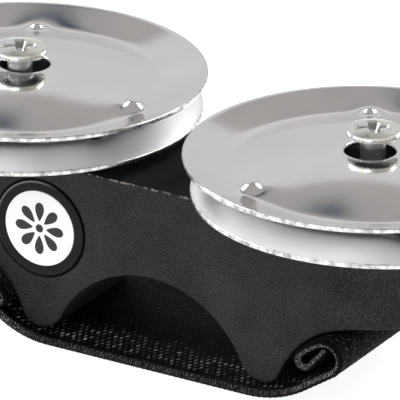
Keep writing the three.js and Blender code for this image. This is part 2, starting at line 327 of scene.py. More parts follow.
def label_ring_finish():
    """Black enamel with a painted highlight: a thin light line on the upper left of its rim."""
    f = Finish("label_black_look", specular_ior_level=0.13)
    here = f.place()
    x, _, z = f.split(here)
    radius = f.length(here)
    # Painted highlight: a thin light line where the rim's upper left edge catches the light.
    rim = f.clamp(radius, (LABEL_R - 0.34) * MM, (LABEL_R - 0.2) * MM)
    lit = f.clamp(f.math("SUBTRACT", z, x), 3 * MM, 8 * MM)
    colour = f.mix(f.noise(here, 1500), (0.0050, 0.0042, 0.0042), (0.0105, 0.0090, 0.0088))
    f.set("Base color", f.mix(f.math("MULTIPLY", rim, lit), colour, (0.15, 0.145, 0.14)))
    f.set("Roughness", f.math("MULTIPLY_ADD", f.noise(here, 700, 4), 0.2, 0.36))
    f.set("Normal", f.bump(f.noise(here, 2600, 3), 0.006))
    return f.material


def label_face_finish():
    """White enamel with a plain printed rosette of eight petals round a dot."""
    f = Finish("label_white_look", specular_ior_level=0.4)
    here = f.place()
    x, _, z = f.split(here)
    radius = f.math("DIVIDE", f.length(here), LABEL_FACE_R * MM)
    spokes = f.math("ABSOLUTE", f.math("COSINE", f.math("MULTIPLY", f.math("ARCTAN2", z, x), 4)))
    out = f.math("DIVIDE", f.math("SUBTRACT", radius, 0.45), 0.25)
    limit = f.math("MULTIPLY_ADD", f.math("MULTIPLY", out, out), 0.5, 0.5)
    petals = f.clamp(f.math("SUBTRACT", spokes, limit), -0.02, 0.02)
    dot = f.clamp(radius, 0.125, 0.105)
    ink = f.math("MAXIMUM", petals, dot)
    paper = f.mix(f.noise(here, 900, 4), (0.93, 0.93, 0.925), (0.97, 0.97, 0.965))
    f.set("Base color", f.mix(ink, paper, (0.012, 0.011, 0.011)))
    rough = f.math("MULTIPLY_ADD", f.noise(here, 600), 0.15, 0.36)
    f.set("Roughness", f.math("MULTIPLY_ADD", ink, -0.1, rough))
    fine = f.noise(here, 2400, 2)
    f.set("Normal", f.bump(f.math("MULTIPLY_ADD", ink, 0.6, f.math("MULTIPLY", fine, 0.25)), 0.012))
    return f.material


def jingle_finish():
    """Steel that is polished on the domed side and satin on the hollow side, with an uneven burr
    round the rim. The hollow side is paler, partly painted light that keeps the band between the
    discs bright, and towards the hole it has painted shade. The under attribute is 0 on the
    domed side and 1 on the hollow side."""
    f = Finish("jingle_steel_look", metallic=1.0)
    under = f.node("Attribute", attribute_name="under").outputs["Fac"]
    here = f.place()
    x, y, _ = f.split(here)
    radius = f.flat_radius(x, y)
    turning = f.noise(f.node("CombineXYZ", radius, 0.0, 0.0).outputs[0], 2600, 3, 0.65)
    clouds = f.noise(here, 55, 4, 0.55)
    scuffs = f.noise(f.stretch(here, 1, 0.16, 1), 2600, 2, 0.6)
    tint = f.mix(f.clamp(clouds, 0.3, 0.7), (0.68, 0.672, 0.668), (0.745, 0.735, 0.730))
    # The hollow side is paler: partly painted light that keeps the band between the discs bright.
    satin = f.mix(f.clamp(clouds, 0.35, 0.65), (0.84, 0.835, 0.835), (0.91, 0.91, 0.925))
    # Painted shade on the hollow side towards the hole.
    deep_shade = f.clamp(radius, 18.5 * MM, 14.5 * MM)
    satin = f.mix(deep_shade, satin, (0.03, 0.03, 0.03))
    steel = f.mix(under, tint, satin)
    at_edge = f.clamp(radius, (JINGLE_R - 0.28) * MM, (JINGLE_R - 0.10) * MM)
    burr = f.math("MULTIPLY", at_edge, f.clamp(f.noise(here, 750, 4, 0.7), 0.40, 0.66))
    f.set("Base color", f.mix(burr, steel, (0.34, 0.34, 0.34)))
    rough = f.math("MULTIPLY_ADD", clouds, 0.06, 0.08)
    rough = f.math("MULTIPLY_ADD", under, 0.26, rough)
    f.set("Roughness", f.math("MULTIPLY_ADD", f.clamp(scuffs, 0.5, 0.8), 0.05, rough))
    ripple = f.bump(f.noise(here, 150, 2, 0.4), 0.016)
    f.set("Normal", f.bump(turning, 0.0018, ripple))
    return f.material


def zinc_finish():
    """Zinc plate, clouded and pitted. On a screw, whose head starts at z = 0, the recess and the
    shank have painted shade."""
    f = Finish("zinc_plate_look", metallic=1.0)
    here = f.place()
    clouds = f.noise(here, 900, 4, 0.65)
    film = f.noise(here, 420, 2, 0.5)
    cool = f.mix(f.clamp(film, 0.35, 0.65), (0.70, 0.715, 0.725), (0.73, 0.725, 0.66))
    plated = f.mix(f.clamp(clouds, 0.5, 0.72), cool, (0.42, 0.42, 0.41))
    x, y, z = f.split(here)
    radius = f.flat_radius(x, y)
    crown = HEAD_BAND + HEAD_DOME
    fall = f.math("MULTIPLY", f.math("MULTIPLY", radius, radius), -HEAD_DOME / HEAD_R ** 2 / MM)
    sunk = f.math("SUBTRACT", f.math("ADD", fall, crown * MM), z)
    # Painted shade in the cross recess of the screw head.
    recess_shade = f.math("MULTIPLY", f.clamp(sunk, 0.06 * MM, 0.55 * MM), f.clamp(radius, 3.3 * MM, 3.1 * MM))
    recess_shade = f.math("MULTIPLY", recess_shade, f.clamp(z, 0.32 * MM, 0.38 * MM))
    plated = f.mix(recess_shade, plated, (0.30, 0.30, 0.285))
    # Painted shade below z = 0: the shank under the head and down in the hole is darker.
    shank = f.clamp(z, 0.12 * MM, -0.12 * MM)
    f.set("Base color", f.mix(shank, plated, f.mix(clouds, (0.20, 0.20, 0.20), (0.62, 0.62, 0.61))))
    rough = f.math("MULTIPLY_ADD", clouds, 0.22, 0.10)
    f.set("Roughness", f.math("MULTIPLY_ADD", shank, 0.14, rough))
    f.set("Normal", f.bump(f.noise(here, 2200, 3, 0.6), 0.012))
    return f.material


def webbing_finish():
    """Knitted elastic: staggered rows of small stitches whose light threads carry painted glints,
    strong near the front and fading to painted shade towards the back, a flecked outer side, and an
    overlocked edge with a painted highlight where the strap curls. The weave attribute holds the
    distance along the strap and across it from its middle, in millimetres, and 1 on the inner
    side, -1 on the outer side."""
    f = Finish("elastic_webbing_look", specular_ior_level=0.05)
    weave = f.node("Attribute", attribute_name="weave").outputs["Vector"]
    along, across, face = f.split(weave)
    reach = f.math("ABSOLUTE", across)
    fibre = f.noise(f.stretch(weave, 4.0, 9.0, 1.0), 1.0, 4, 0.7)
    wander = f.noise(f.stretch(weave, 0.35, 0.6, 1.0), 1.0, 3, 0.6)
    jitter = f.noise(f.stretch(weave, 1.3, 1.1, 1.0), 1.0, 2, 0.5)

    row = f.math("MULTIPLY_ADD", jitter, 0.45, f.math("DIVIDE", across, STITCH_ROW))
    row_number = f.math("FLOOR", row)
    stagger = f.math("MULTIPLY", f.math("FLOORED_MODULO", row_number, 2.0), 0.5)
    step = f.math("MULTIPLY_ADD", jitter, 0.55, f.math("DIVIDE", along, STITCH_STEP))
    step = f.math("ADD", step, stagger)
    step_number = f.math("FLOOR", step)
    over = f.math("SUBTRACT", f.math("SUBTRACT", row, row_number), 0.5)
    beside = f.math("SUBTRACT", f.math("SUBTRACT", step, step_number), 0.5)
    lean = f.math("DIVIDE", f.math("MULTIPLY_ADD", over, 0.22, beside), 0.20)
    rise = f.math("DIVIDE", over, 0.42)
    spread = f.math("ADD", f.math("MULTIPLY", lean, lean), f.math("MULTIPLY", rise, rise))
    stitch = f.clamp(spread, 1.35, 0.25)
    place = f.node("CombineXYZ", step_number, row_number, 0.0).outputs[0]
    luck = f.node("TexWhiteNoise", place, noise_dimensions="3D").outputs["Value"]
    shine = f.math("MULTIPLY_ADD", f.math("POWER", luck, 2.4), 0.92, 0.08)
    # Painted light: the glints are strong in the rows near the front edge and fade to painted shade
    # towards the back, where the body shades the strap.
    near = f.clamp(reach, STRAP_HALF - 1.9, STRAP_HALF - 2.9)
    bright_rows = f.math("MULTIPLY", near, f.clamp(across, -3.5, 5.5 - STRAP_HALF))
    glow = f.math("MULTIPLY_ADD", bright_rows, 0.94, 0.06)
    glow = f.math("MULTIPLY", glow, f.clamp(wander, 0.30, 0.58))
    glint = f.math("MULTIPLY", f.math("MULTIPLY", stitch, shine), glow)
    inside = f.mix(glint, (0.0014, 0.0013, 0.0015), (0.50, 0.47, 0.47))

    tuft = f.noise(f.stretch(weave, 2.3, 2.6, 1.0), 1.0, 3, 0.75)
    speck = f.math("MULTIPLY", f.clamp(tuft, 0.50, 0.72), f.clamp(wander, 0.25, 0.6))
    outside = f.mix(speck, (0.0022, 0.0020, 0.0018), (0.135, 0.118, 0.098))
    inner = f.clamp(face, -0.25, 0.35)
    field = f.mix(inner, outside, inside)

    lock_step = f.math("MULTIPLY_ADD", reach, 0.55, f.math("DIVIDE", along, OVERLOCK_STEP))
    lock_step = f.math("MULTIPLY_ADD", jitter, 2.4, lock_step)
    wave = f.math("SINE", f.math("MULTIPLY", lock_step, 2 * math.pi))
    lock = f.math("MULTIPLY_ADD", wave, 0.5, 0.5)
    patchy = f.math("MULTIPLY_ADD", f.math("POWER", f.clamp(tuft, 0.36, 0.66), 1.6), 0.88, 0.12)
    thread = f.math("MULTIPLY", patchy, f.clamp(fibre, 0.22, 0.6))
    thread = f.math("MULTIPLY", f.math("POWER", lock, 1.4), thread)
    thread = f.math("MULTIPLY", thread, f.clamp(face, -0.40, 0.32))
    # Painted highlight: the overlocked edge is brighter where the strap curls round the ends, and
    # dimmer along the flat stretch under the body.
    curled = f.clamp(f.math("ABSOLUTE", along), CURL_START - 8, CURL_START)
    thread = f.math("MULTIPLY", thread, f.math("MULTIPLY_ADD", curled, 0.64, 0.36))
    rim = f.mix(thread, (0.0024, 0.0021, 0.0022), (0.56, 0.525, 0.525))
    edge = f.clamp(reach, STRAP_HALF - OVERLOCK_WIDTH, STRAP_HALF - 0.8)
    f.set("Base color", f.mix(edge, field, rim))
    f.set("Roughness", f.math("MULTIPLY_ADD", fibre, 0.2, 0.62))
    height = f.mix(edge, stitch, lock)
    height = f.math("MULTIPLY_ADD", fibre, 0.3, height)
    f.set("Normal", f.bump(height, 0.10))
    return f.material


def floor_finish():
    """A lit white table: it glows, so that only a faint shadow is left on it."""
    white = (1.0, 1.0, 1.0)
    f = Finish("floor_look", specular_ior_level=0.0, emission_color=white, emission_strength=0.91)
    cloud = f.noise(f.place(), 3)
    f.set("Base color", f.mix(cloud, (0.34, 0.34, 0.34), (0.36, 0.36, 0.36)))
    f.set("Roughness", 0.9)
    return f.material


LOOKS = {
    "moulded_black": moulded_finish(),
    "label_black": label_ring_finish(),
    "label_white": label_face_finish(),
    "jingle_steel": jingle_finish(),
    "zinc_plate": zinc_finish(),
    "elastic_webbing": webbing_finish(),
}

# ---- Mesh helpers ----


def new_object(name, points, faces, crease=35):
    """A mesh object from points in millimetres. Doubled points are merged and faces turned out."""
    mesh = bpy.data.meshes.new(name)
    mesh.from_pydata((np.asarray(points, float) * MM).tolist(), [], faces)
    tidy_mesh(mesh, crease)
    made = bpy.data.objects.new(name, mesh)
    bpy.context.scene.collection.objects.link(made)
    return made


def tidy_mesh(mesh, crease):
    work = bmesh.new()
    work.from_mesh(mesh)
    bmesh.ops.remove_doubles(work, verts=work.verts, dist=2e-7)
    bmesh.ops.recalc_face_normals(work, faces=work.faces)
    work.to_mesh(mesh)
    work.free()
    mesh.shade_smooth()
    mesh.set_sharp_from_angle(angle=math.radians(crease))


def grid_faces(rows, columns, close_rows=False):
    """Four-sided faces over rows of points. Each row is a closed loop of columns points."""
    faces = []
    for i in range(rows if close_rows else rows - 1):
        for j in range(columns):
            k, m = (i + 1) % rows, (j + 1) % columns
            faces.append((i * columns + j, i * columns + m, k * columns + m, k * columns + j))
    return faces


def turned(name, profile, angles, lift=None, crease=35):
    """A profile of (radius, height) turned about Z. It is closed, or runs from axis to axis."""
    points = []
    for r, z in profile:
        for a in angles:
            x, y = r * math.cos(a), r * math.sin(a)
            points.append((x, y, z + (lift(x, y) if lift else 0)))
    closed = profile[0][0] > 0
    return new_object(name, points, grid_faces(len(profile), len(angles), close_rows=closed), crease)


def spaced(start, end, step):
    """Even steps of about the given size from start up to end, end left out."""
    count = max(round(abs(end - start) / step), 1)
    return [start + (end - start) * i / count for i in range(count)]


def even_angles(count):
    return [2 * math.pi * i / count for i in range(count)]


def arc(cx, cy, radius, start, end, count):
    """Points on an arc, its two ends included. Angles in degrees."""
    spots = [math.radians(start + (end - start) * i / (count - 1)) for i in range(count)]
    return [(cx + radius * math.cos(a), cy + radius * math.sin(a)) for a in spots]


def cut(target, cutters, crease=35):
    """Takes the cutters' solids away from the target's mesh, and removes them."""
    for cutter in cutters:
        step = target.modifiers.new("cut", "BOOLEAN")
        step.operation = "DIFFERENCE"
        step.solver = "EXACT"
        step.object = cutter
    seen = target.evaluated_get(bpy.context.evaluated_depsgraph_get())
    result = bpy.data.meshes.new_from_object(seen)
    target.modifiers.clear()
    target.data = result
    tidy_mesh(result, crease)
    for cutter in cutters:
        bpy.data.objects.remove(cutter)


def finish_piece(piece, look, body, *nodes):
    """Gives a piece its material, the body it rides on and the nodes it stands for."""
    piece.data.materials.clear()
    piece.data.materials.append(LOOKS[look])
    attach(piece, body)
    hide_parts(*nodes)


def box_centre(node):
    low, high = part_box(node)
    return (low + high) / 2


# ---- Body ----


def lower_profile():
    """The body's underside from the middle to the right end: (x, z, outward normal x, z)."""
    toe_z = BODY_TOP - FOOT_DEPTH
    rise = FOOT_DEPTH - ARCH_DEPTH
    arch_r = (FOOT_X ** 2 + rise ** 2) / (2 * rise) - TOE_INNER_R
    arch_z = BODY_TOP - ARCH_DEPTH - arch_r
    inner_z, outer_z = toe_z + TOE_INNER_R, toe_z + TOE_OUTER_R
    arch_angle = math.degrees(math.atan2(inner_z - arch_z, FOOT_X))
    flank_angle = math.degrees(math.atan2(outer_z - FLANK_Z, FLANK_X - FOOT_X))
    reach = math.degrees(math.acos((FLANK_X - POST_X) / FLANK_R))
    pieces = [
        (0, arch_z, arch_r, 90, arch_angle, 34, -1),
        (FOOT_X, inner_z, TOE_INNER_R, 180 + arch_angle, 270, 14, 1),
        (FOOT_X, outer_z, TOE_OUTER_R, 270, 360 - flank_angle, 16, 1),
        (FLANK_X, FLANK_Z, FLANK_R, 180 - flank_angle, 180 - reach, 22, -1),
    ]
    line = []
    for cx, cz, radius, start, end, count, sign in pieces:
        for x, z in arc(cx, cz, radius, start, end, count)[:-1]:
            line.append((x, z, sign * (x - cx) / radius, sign * (z - cz) / radius))
    for x, _ in arc(POST_X, 0, HALF_DEPTH, -90, 0, 26):
        reach_x = min(x, FLANK_X) - FLANK_X
        z = FLANK_Z + math.sqrt(FLANK_R ** 2 - reach_x ** 2)
        line.append((x, z, -reach_x / FLANK_R, -(z - FLANK_Z) / FLANK_R))
    return line


def body_rows(x, z, mx, mz, side):
    """Points down the wall at one station, from the top face round to the underside."""
    past = max(abs(x) - POST_X, 0)
    nx = math.copysign(past / HALF_DEPTH, x)
    ny = side * math.sqrt(max(1 - nx * nx, 0))
    px, py = math.copysign(min(abs(x), POST_X), x) + nx * HALF_DEPTH, ny * HALF_DEPTH
    rows = [(px - nx * (TOP_ROUND + 0.05), py - ny * (TOP_ROUND + 0.05), BODY_TOP)]
    for c, s in arc(0, 0, TOP_ROUND, 90, 0, 7):
        inset = TOP_ROUND - c
        rows.append((px - nx * inset, py - ny * inset, BODY_TOP - TOP_ROUND + s))
    rows.append((px, py, BODY_TOP - TOP_ROUND - 0.05))
    for share in (0.25, 0.5, 0.75):
        rows.append((px, py, BODY_TOP + (z - BODY_TOP) * share))
    near = EDGE_ROUND + 0.05
    rows.append((px - mx * near, py, z - mz * near))
    for c, s in arc(0, 0, EDGE_ROUND, 0, 90, 5):
        inset, lift = EDGE_ROUND - c, EDGE_ROUND - s
        rows.append((px - nx * inset - mx * lift, py - ny * inset, z - mz * lift))
    rows.append((px - nx * near, py - ny * near, z))
    return rows


def round_bar(radius, length, segments=40, mouth=0.0):
    """A cutter along Z, from its mouth at 0 down to -length, flared at the mouth."""
    profile = [(0, -length), (radius, -length), (radius, -mouth)]
    profile += [(radius + mouth + 0.5, 0.5), (0, 0.5)] if mouth else [(radius, 0.5), (0, 0.5)]
    return turned("cutter", profile, even_angles(segments))


def flank_matrix(word, y):
    """Takes +Z to a tack's axis, pointing out from the flank's centre of curvature."""
    across = Matrix.Rotation(math.radians(90 - TACK_AT[word]), 4, "Y")
    place = Matrix.Translation(Vector((FLANK_X, 0, FLANK_Z)) * MM) @ across
    if SIDES[word] < 0:
        place = Matrix.Rotation(math.pi, 4, "Z") @ place
    return Matrix.Translation((0, y * MM, 0)) @ place


def tack_places():
    return [(word, end, y) for word in SIDES for end, y in (("front", -TACK_Y), ("back", TACK_Y))]


def make_body():
    right = lower_profile()
    left = [(-x, z, -mx, mz) for x, z, mx, mz in reversed(right[1:])]
    stations = left + right
    front = [body_rows(*s, -1) for s in stations]
    back = [body_rows(*s, 1) for s in stations]
    loops = [f + b[::-1] for f, b in zip(front, back)]
    columns = len(loops[0])
    points = [p for loop in loops for p in loop]
    body = new_object("block_body", points, grid_faces(len(loops), columns))

    cutters = []
    for side in SIDES.values():
        bore = round_bar(BORE_R, BORE_DEPTH, 48, BORE_FLARE)
        bore.location = Vector((side * POST_X, 0, BODY_TOP)) * MM
        cutters.append(bore)
    for word, _, y in tack_places():
        pin = round_bar(TACK_SHANK_R + 0.2, 8, 20)
        start = Matrix.Translation((0, 0, (FLANK_R - 0.4) * MM)) @ Matrix.Rotation(math.pi, 4, "X")
        pin.matrix_world = flank_matrix(word, y) @ start
        cutters.append(pin)
    seat = round_bar(LABEL_R + 0.3, LABEL_SEAT, 96, 0.12)
    place = Matrix.Translation(Vector((LABEL_X, -HALF_DEPTH, LABEL_Z)) * MM)
    seat.matrix_world = place @ Matrix.Rotation(math.pi / 2, 4, "X")
    cutters.append(seat)
    bpy.context.view_layer.update()
    cut(body, cutters)
    finish_piece(body, "moulded_black", "block", "body")


# ---- Label ----


def rounded_plate(inner, outer, thickness, edge, steps=5):
    """The closed profile of a ring with rounded edges, or of a disc where inner is 0."""
    top, low = thickness / 2, -thickness / 2
    line = []
    if inner > 0:
        line += arc(inner + edge, low + edge, edge, 180, 270, steps)
    else:
        line.append((0, low))
    line += arc(outer - edge, low + edge, edge, -90, 0, steps)
    line += arc(outer - edge, top - edge, edge, 0, 90, steps)
    if inner > 0:
        line += arc(inner + edge, top - edge, edge, 90, 180, steps)
    else:
        line.append((0, top))
    return line


def make_label():
    facing = Matrix.Rotation(math.pi / 2, 4, "X")
    ring = rounded_plate(LABEL_FACE_R + LABEL_GAP, LABEL_R, LABEL_T, 0.12)
    face = rounded_plate(0, LABEL_FACE_R, LABEL_T, 0.08)
    rows = (
        ("badge_ring", ring, "label_black", "label_ring"),
        ("badge_face", face, "label_white", "label_face"),
    )
    pieces = [turned(name, profile, even_angles(128)) for name, profile, _, _ in rows]
    for piece, (_, _, look, node) in zip(pieces, rows):
        piece.data.transform(facing)
        piece.location = box_centre(node)
        finish_piece(piece, look, "block", node)


# ---- Jingles ----


def jingle_height(r):
    """Height of a jingle's top over its rim: a dome and a rising rim that meet in a soft fold."""
    drop = DOME_RISE + FOLD_DROP
    dome_r = (FOLD_R ** 2 + drop ** 2) / (2 * drop)
    dome = DOME_RISE - dome_r + math.sqrt(dome_r ** 2 - r ** 2)
    rim = (r - JINGLE_R) * (FOLD_DROP / (JINGLE_R - FOLD_R))
    return (dome + rim + math.sqrt((dome - rim) ** 2 + FOLD_SOFTNESS ** 2)) / 2


def dimple_lift(x, y):
    """Height that the three punched dimples, and the soft swelling round each, add to the sheet."""
    lift = 0.0
    for i in range(DIMPLE_COUNT):
        a = 2 * math.pi * i / DIMPLE_COUNT
        apart = math.hypot(x - DIMPLE_RING_R * math.cos(a), y - DIMPLE_RING_R * math.sin(a))
        if apart > DIMPLE_REACH:
            continue
        nub = NUB_RISE / (1 + (apart / NUB_R) ** 4)
        swell = SWELL_RISE * math.exp(-((apart / SWELL_R) ** 2))
        lift += nub + swell
    return lift


def make_jingle(word, level):
    """One disc. The lower one of a pair is turned over. Each has its own turn about the screw."""
    edge, lip = JINGLE_EDGE, HOLE_LIP
    band_in, band_out = DIMPLE_BAND
    radii = (
        spaced(JINGLE_HOLE_R + lip, band_in, 0.85)
        + spaced(band_in, band_out, 0.28)
        + spaced(band_out, JINGLE_R - edge, 0.6)
    )
    rim_z, lip_z = jingle_height(JINGLE_R - edge), jingle_height(JINGLE_HOLE_R + lip)
    top = [(r, jingle_height(r)) for r in radii]
    rim = arc(JINGLE_R - edge, rim_z - edge, edge, 90, 0, 4)
    rim += arc(JINGLE_R - edge, rim_z - JINGLE_T + edge, edge, 0, -90, 4)
    under = [(r, z - JINGLE_T) for r, z in reversed(top)]
    hole = arc(JINGLE_HOLE_R + lip, lip_z - JINGLE_T + lip, lip, 270, 180, 4)[1:]
    hole += arc(JINGLE_HOLE_R + lip, lip_z - lip, lip, 180, 90, 4)[:-1]
    profile = top + rim + under + hole
    angles = []
    share = 360 / DIMPLE_COUNT
    for i in range(DIMPLE_COUNT):
        before, after = share * i - DIMPLE_SPAN, share * i + DIMPLE_SPAN
        angles += spaced(before, after, 0.75) + spaced(after, before + share, 1.7)
    angles = [math.radians(a) for a in angles]
    piece = turned(f"jingle_{word}_{level}", profile, angles, dimple_lift, 50)
    sides = np.interp(np.arange(len(profile)), (len(top), len(top) + len(rim)), (0, 1))
    sides[len(profile) - len(hole):] = np.linspace(1, 0, len(hole))
    layer = piece.data.attributes.new("under", "FLOAT", "POINT")
    layer.data.foreach_set("value", np.repeat(sides, len(angles)).astype(np.float32))
    node = f"jingle_{level}_{word}"
    centre = box_centre(node)
    low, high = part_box(node)
    turn = Matrix.Rotation(math.radians(JINGLE_TURN[word, level]), 4, "Z")
    if level == "upper":
        z = high.z - jingle_height(JINGLE_HOLE_R + lip) * MM
        spin = turn
    else:
        z = low.z + jingle_height(JINGLE_HOLE_R + lip) * MM
        spin = Matrix.Rotation(math.pi, 4, "X") @ turn
    piece.data.transform(spin)
    piece.location = (centre.x, centre.y, z)
    finish_piece(piece, "jingle_steel", f"{level}_{word}", node)


# ---- Screws, washers and tacks ----


def recess_cutter():
    """A cross with walls that lean in as they go down, and a deeper point in the middle."""
    mouth, floor = HEAD_BAND + HEAD_DOME + 0.3, HEAD_BAND + HEAD_DOME * 0.65 - RECESS_DEPTH
    parts = []
    for turn in (0, math.pi / 2):
        points = []
        for z, size in ((mouth, RECESS_MOUTH), (floor, RECESS_FLOOR)):
            reach, half = size["reach"], size["half"]
            points += [(-reach, -half, z), (reach, -half, z), (reach, half, z), (-reach, half, z)]
        faces = [(0, 1, 2, 3), (7, 6, 5, 4), (0, 4, 5, 1), (1, 5, 6, 2), (2, 6, 7, 3), (3, 7, 4, 0)]
        arm = new_object("cutter", points, faces)
        arm.matrix_world = Matrix.Rotation(RECESS_TURN + turn, 4, "Z")
        parts.append(arm)
    wall = [(RECESS_FLOOR["cone"], floor + 0.1), (RECESS_MOUTH["cone"], mouth)]
    cone = turned("cutter", [(0, floor - 0.35)] + wall + [(0, mouth)], even_angles(24))
    return parts + [cone]


def screw_profile(length):
    """A screw from its tip at -length to its head, whose underside is at 0."""
    cone_end = TIP_LENGTH - length
    line = [(0, -length), (0.25, -length + 0.1), (1.0, -length + 1.4), (THREAD_ROOT_R, cone_end)]
    line += [(THREAD_ROOT_R, z) for z in spaced(cone_end, -THREAD_START, THREAD_PITCH / 7)]
    line += [(SHANK_R, -SHANK_END), (SHANK_R, -SHANK_FILLET - 0.06)]
    line += arc(SHANK_R + SHANK_FILLET, -SHANK_FILLET, SHANK_FILLET, 180, 90, 5)
    line += arc(HEAD_R - HEAD_EDGE, HEAD_EDGE, HEAD_EDGE, -90, 0, 5)
    line += [(HEAD_R, HEAD_BAND - 0.12), (HEAD_R - 0.05, HEAD_BAND)]
    for r in spaced(HEAD_R - 0.16, 0, 0.3):
        line.append((r, HEAD_BAND + HEAD_DOME * (1 - (r / HEAD_R) ** 2)))
    return line + [(0, HEAD_BAND + HEAD_DOME)]


def add_thread(piece, length):
    """Raises a helical ridge on the hidden stretch of a screw's shank."""
    for vertex in piece.data.vertices:
        x, y, z = vertex.co / MM
        r = math.hypot(x, y)
        if abs(r - THREAD_ROOT_R) > 0.02 or z > -THREAD_START:
            continue
        phase = (z / THREAD_PITCH - math.atan2(y, x) / (2 * math.pi)) % 1
        crest = max(0.0, 1 - abs(phase - 0.5) / 0.32)
        fade = min(1.0, (-THREAD_START - z) / 0.8)
        grow = (r + (SHANK_R - THREAD_ROOT_R) * crest * fade) / r
        vertex.co.x *= grow
        vertex.co.y *= grow


def make_screw(word):
    node = f"jingle_screw_{word}"
    low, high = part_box(node)
    base = high.z / MM - HEAD_BAND - HEAD_DOME + 0.01
    length = base - low.z / MM
    piece = turned(f"screw_{word}", screw_profile(length), even_angles(56), crease=28)
    add_thread(piece, length)
    cut(piece, recess_cutter(), 28)
    centre = box_centre(node)
    piece.location = (centre.x, centre.y, base * MM)
    finish_piece(piece, "zinc_plate", "block", node)


def make_washer(word):
    node = f"spacer_washer_{word}"
    profile = rounded_plate(BORE_R, WASHER_R, WASHER_T, 0.14)
    piece = turned(f"washer_{word}", profile, even_angles(72))
    piece.location = box_centre(node)
    finish_piece(piece, "zinc_plate", f"washer_{word}", node)


def make_tack(word, end, y):
    """A tack with a low domed head inside the curl and a pointed shank in the body."""
    centre = TACK_HEAD_BASE - TACK_HEAD_T + TACK_DOME_R
    head = arc(0, centre, TACK_DOME_R, 270, 270 + TACK_DOME_ANGLE, 8)
    foot = [(TACK_HEAD_R - 0.08, TACK_HEAD_BASE), (TACK_SHANK_R + 0.1, TACK_HEAD_BASE)]
    tip = FLANK_R + TACK_BITE
    shank = [(TACK_SHANK_R, TACK_HEAD_BASE + 0.12), (TACK_SHANK_R, tip - 1.6), (0, tip)]
    piece = turned(f"tack_{word}_{end}", head + foot + shank, even_angles(40))
    piece.data.transform(flank_matrix(word, y))
    finish_piece(piece, "zinc_plate", "block", f"strap_tack_{word}_{end}")


# ---- Strap ----


def polar(centre, radius, angle):
    return centre + radius * Vector((math.cos(math.radians(angle)), math.sin(math.radians(angle))))


def strap_half(end):
    """The middle line of one half of the strap, from its tail to X = 0, about 0.2 mm a step."""
    flank, floor_z = Vector((FLANK_X, FLANK_Z)), STRAP_T / 2
    turn_r, fold_r, ramp_r = end["turn_r"], end["fold_r"], end["ramp_r"]
    fold = polar(flank, HEM_R - fold_r, end["fold_at"])
    turn = polar(flank, HEM_R - turn_r, end["turn_at"])
    root = polar(fold, fold_r, end["tail_rise"] - 90)
    tip = polar(root, TAIL_LENGTH, end["tail_rise"])
    top = polar(turn, turn_r, RAMP_ANGLE - 90)
    ramp = math.radians(RAMP_ANGLE)
    curve_z = floor_z + ramp_r * (1 - math.cos(ramp))
    straight = (top.y - curve_z) / math.tan(ramp)
    ramp_x = top.x - straight - ramp_r * math.sin(ramp)

    def swing(centre, radius, start, finish):
        count = max(int(radius * math.radians(abs(finish - start)) / 0.2), 8)
        return arc(*centre, radius, start, finish, count)[:-1]

    line = [tuple(tip.lerp(root, t)) for t in spaced(0, 1, 0.055)]
    line += swing(fold, fold_r, end["tail_rise"] - 90, end["fold_at"] - 360)
    line += swing(flank, HEM_R, end["fold_at"], end["turn_at"])
    line += swing(turn, turn_r, end["turn_at"], RAMP_ANGLE - 90)
    low = Vector((top.x - straight, curve_z))
    line += [tuple(top.lerp(low, t)) for t in spaced(0, 1, 0.04)]
    line += swing((ramp_x, floor_z + ramp_r), ramp_r, RAMP_ANGLE - 90, -90)
    return line + [(x, floor_z) for x in spaced(ramp_x, 0, 0.22)]


def strap_line():
    """The strap's middle line, right tail to left tail: (x, z) points."""
    left = [(-x, z) for x, z in reversed(strap_half(STRAP_END["left"]))]
    return strap_half(STRAP_END["right"]) + [(0.0, STRAP_T / 2)] + left


def strap_section():
    """Once round the strap: (across, share of half thickness, inside 1 or outside -1)."""
    across = [-STRAP_HALF + 0.6 + (2 * STRAP_HALF - 1.2) * i / 52 for i in range(53)]
    rim = [(0.18, 0.52), (0.38, 0.81), (0.6, 1.0)]
    inner = [(v, 1.0, 1.0) for v in across[1:-1]]
    outer = [(v, -1.0, -1.0) for v in reversed(across[1:-1])]
    left = [(-STRAP_HALF + inset, share, share) for inset, share in rim]
    right = [(STRAP_HALF - inset, share, share) for inset, share in reversed(rim)]
    left_out = [(v, -share, -share) for v, share, _ in reversed(left)]
    right_out = [(v, -share, -share) for v, share, _ in reversed(right)]
    first, last = [(-STRAP_HALF, 0.0, 0.0)], [(STRAP_HALF, 0.0, 0.0)]
    return left + inner + right + last + right_out + outer + left_out + first


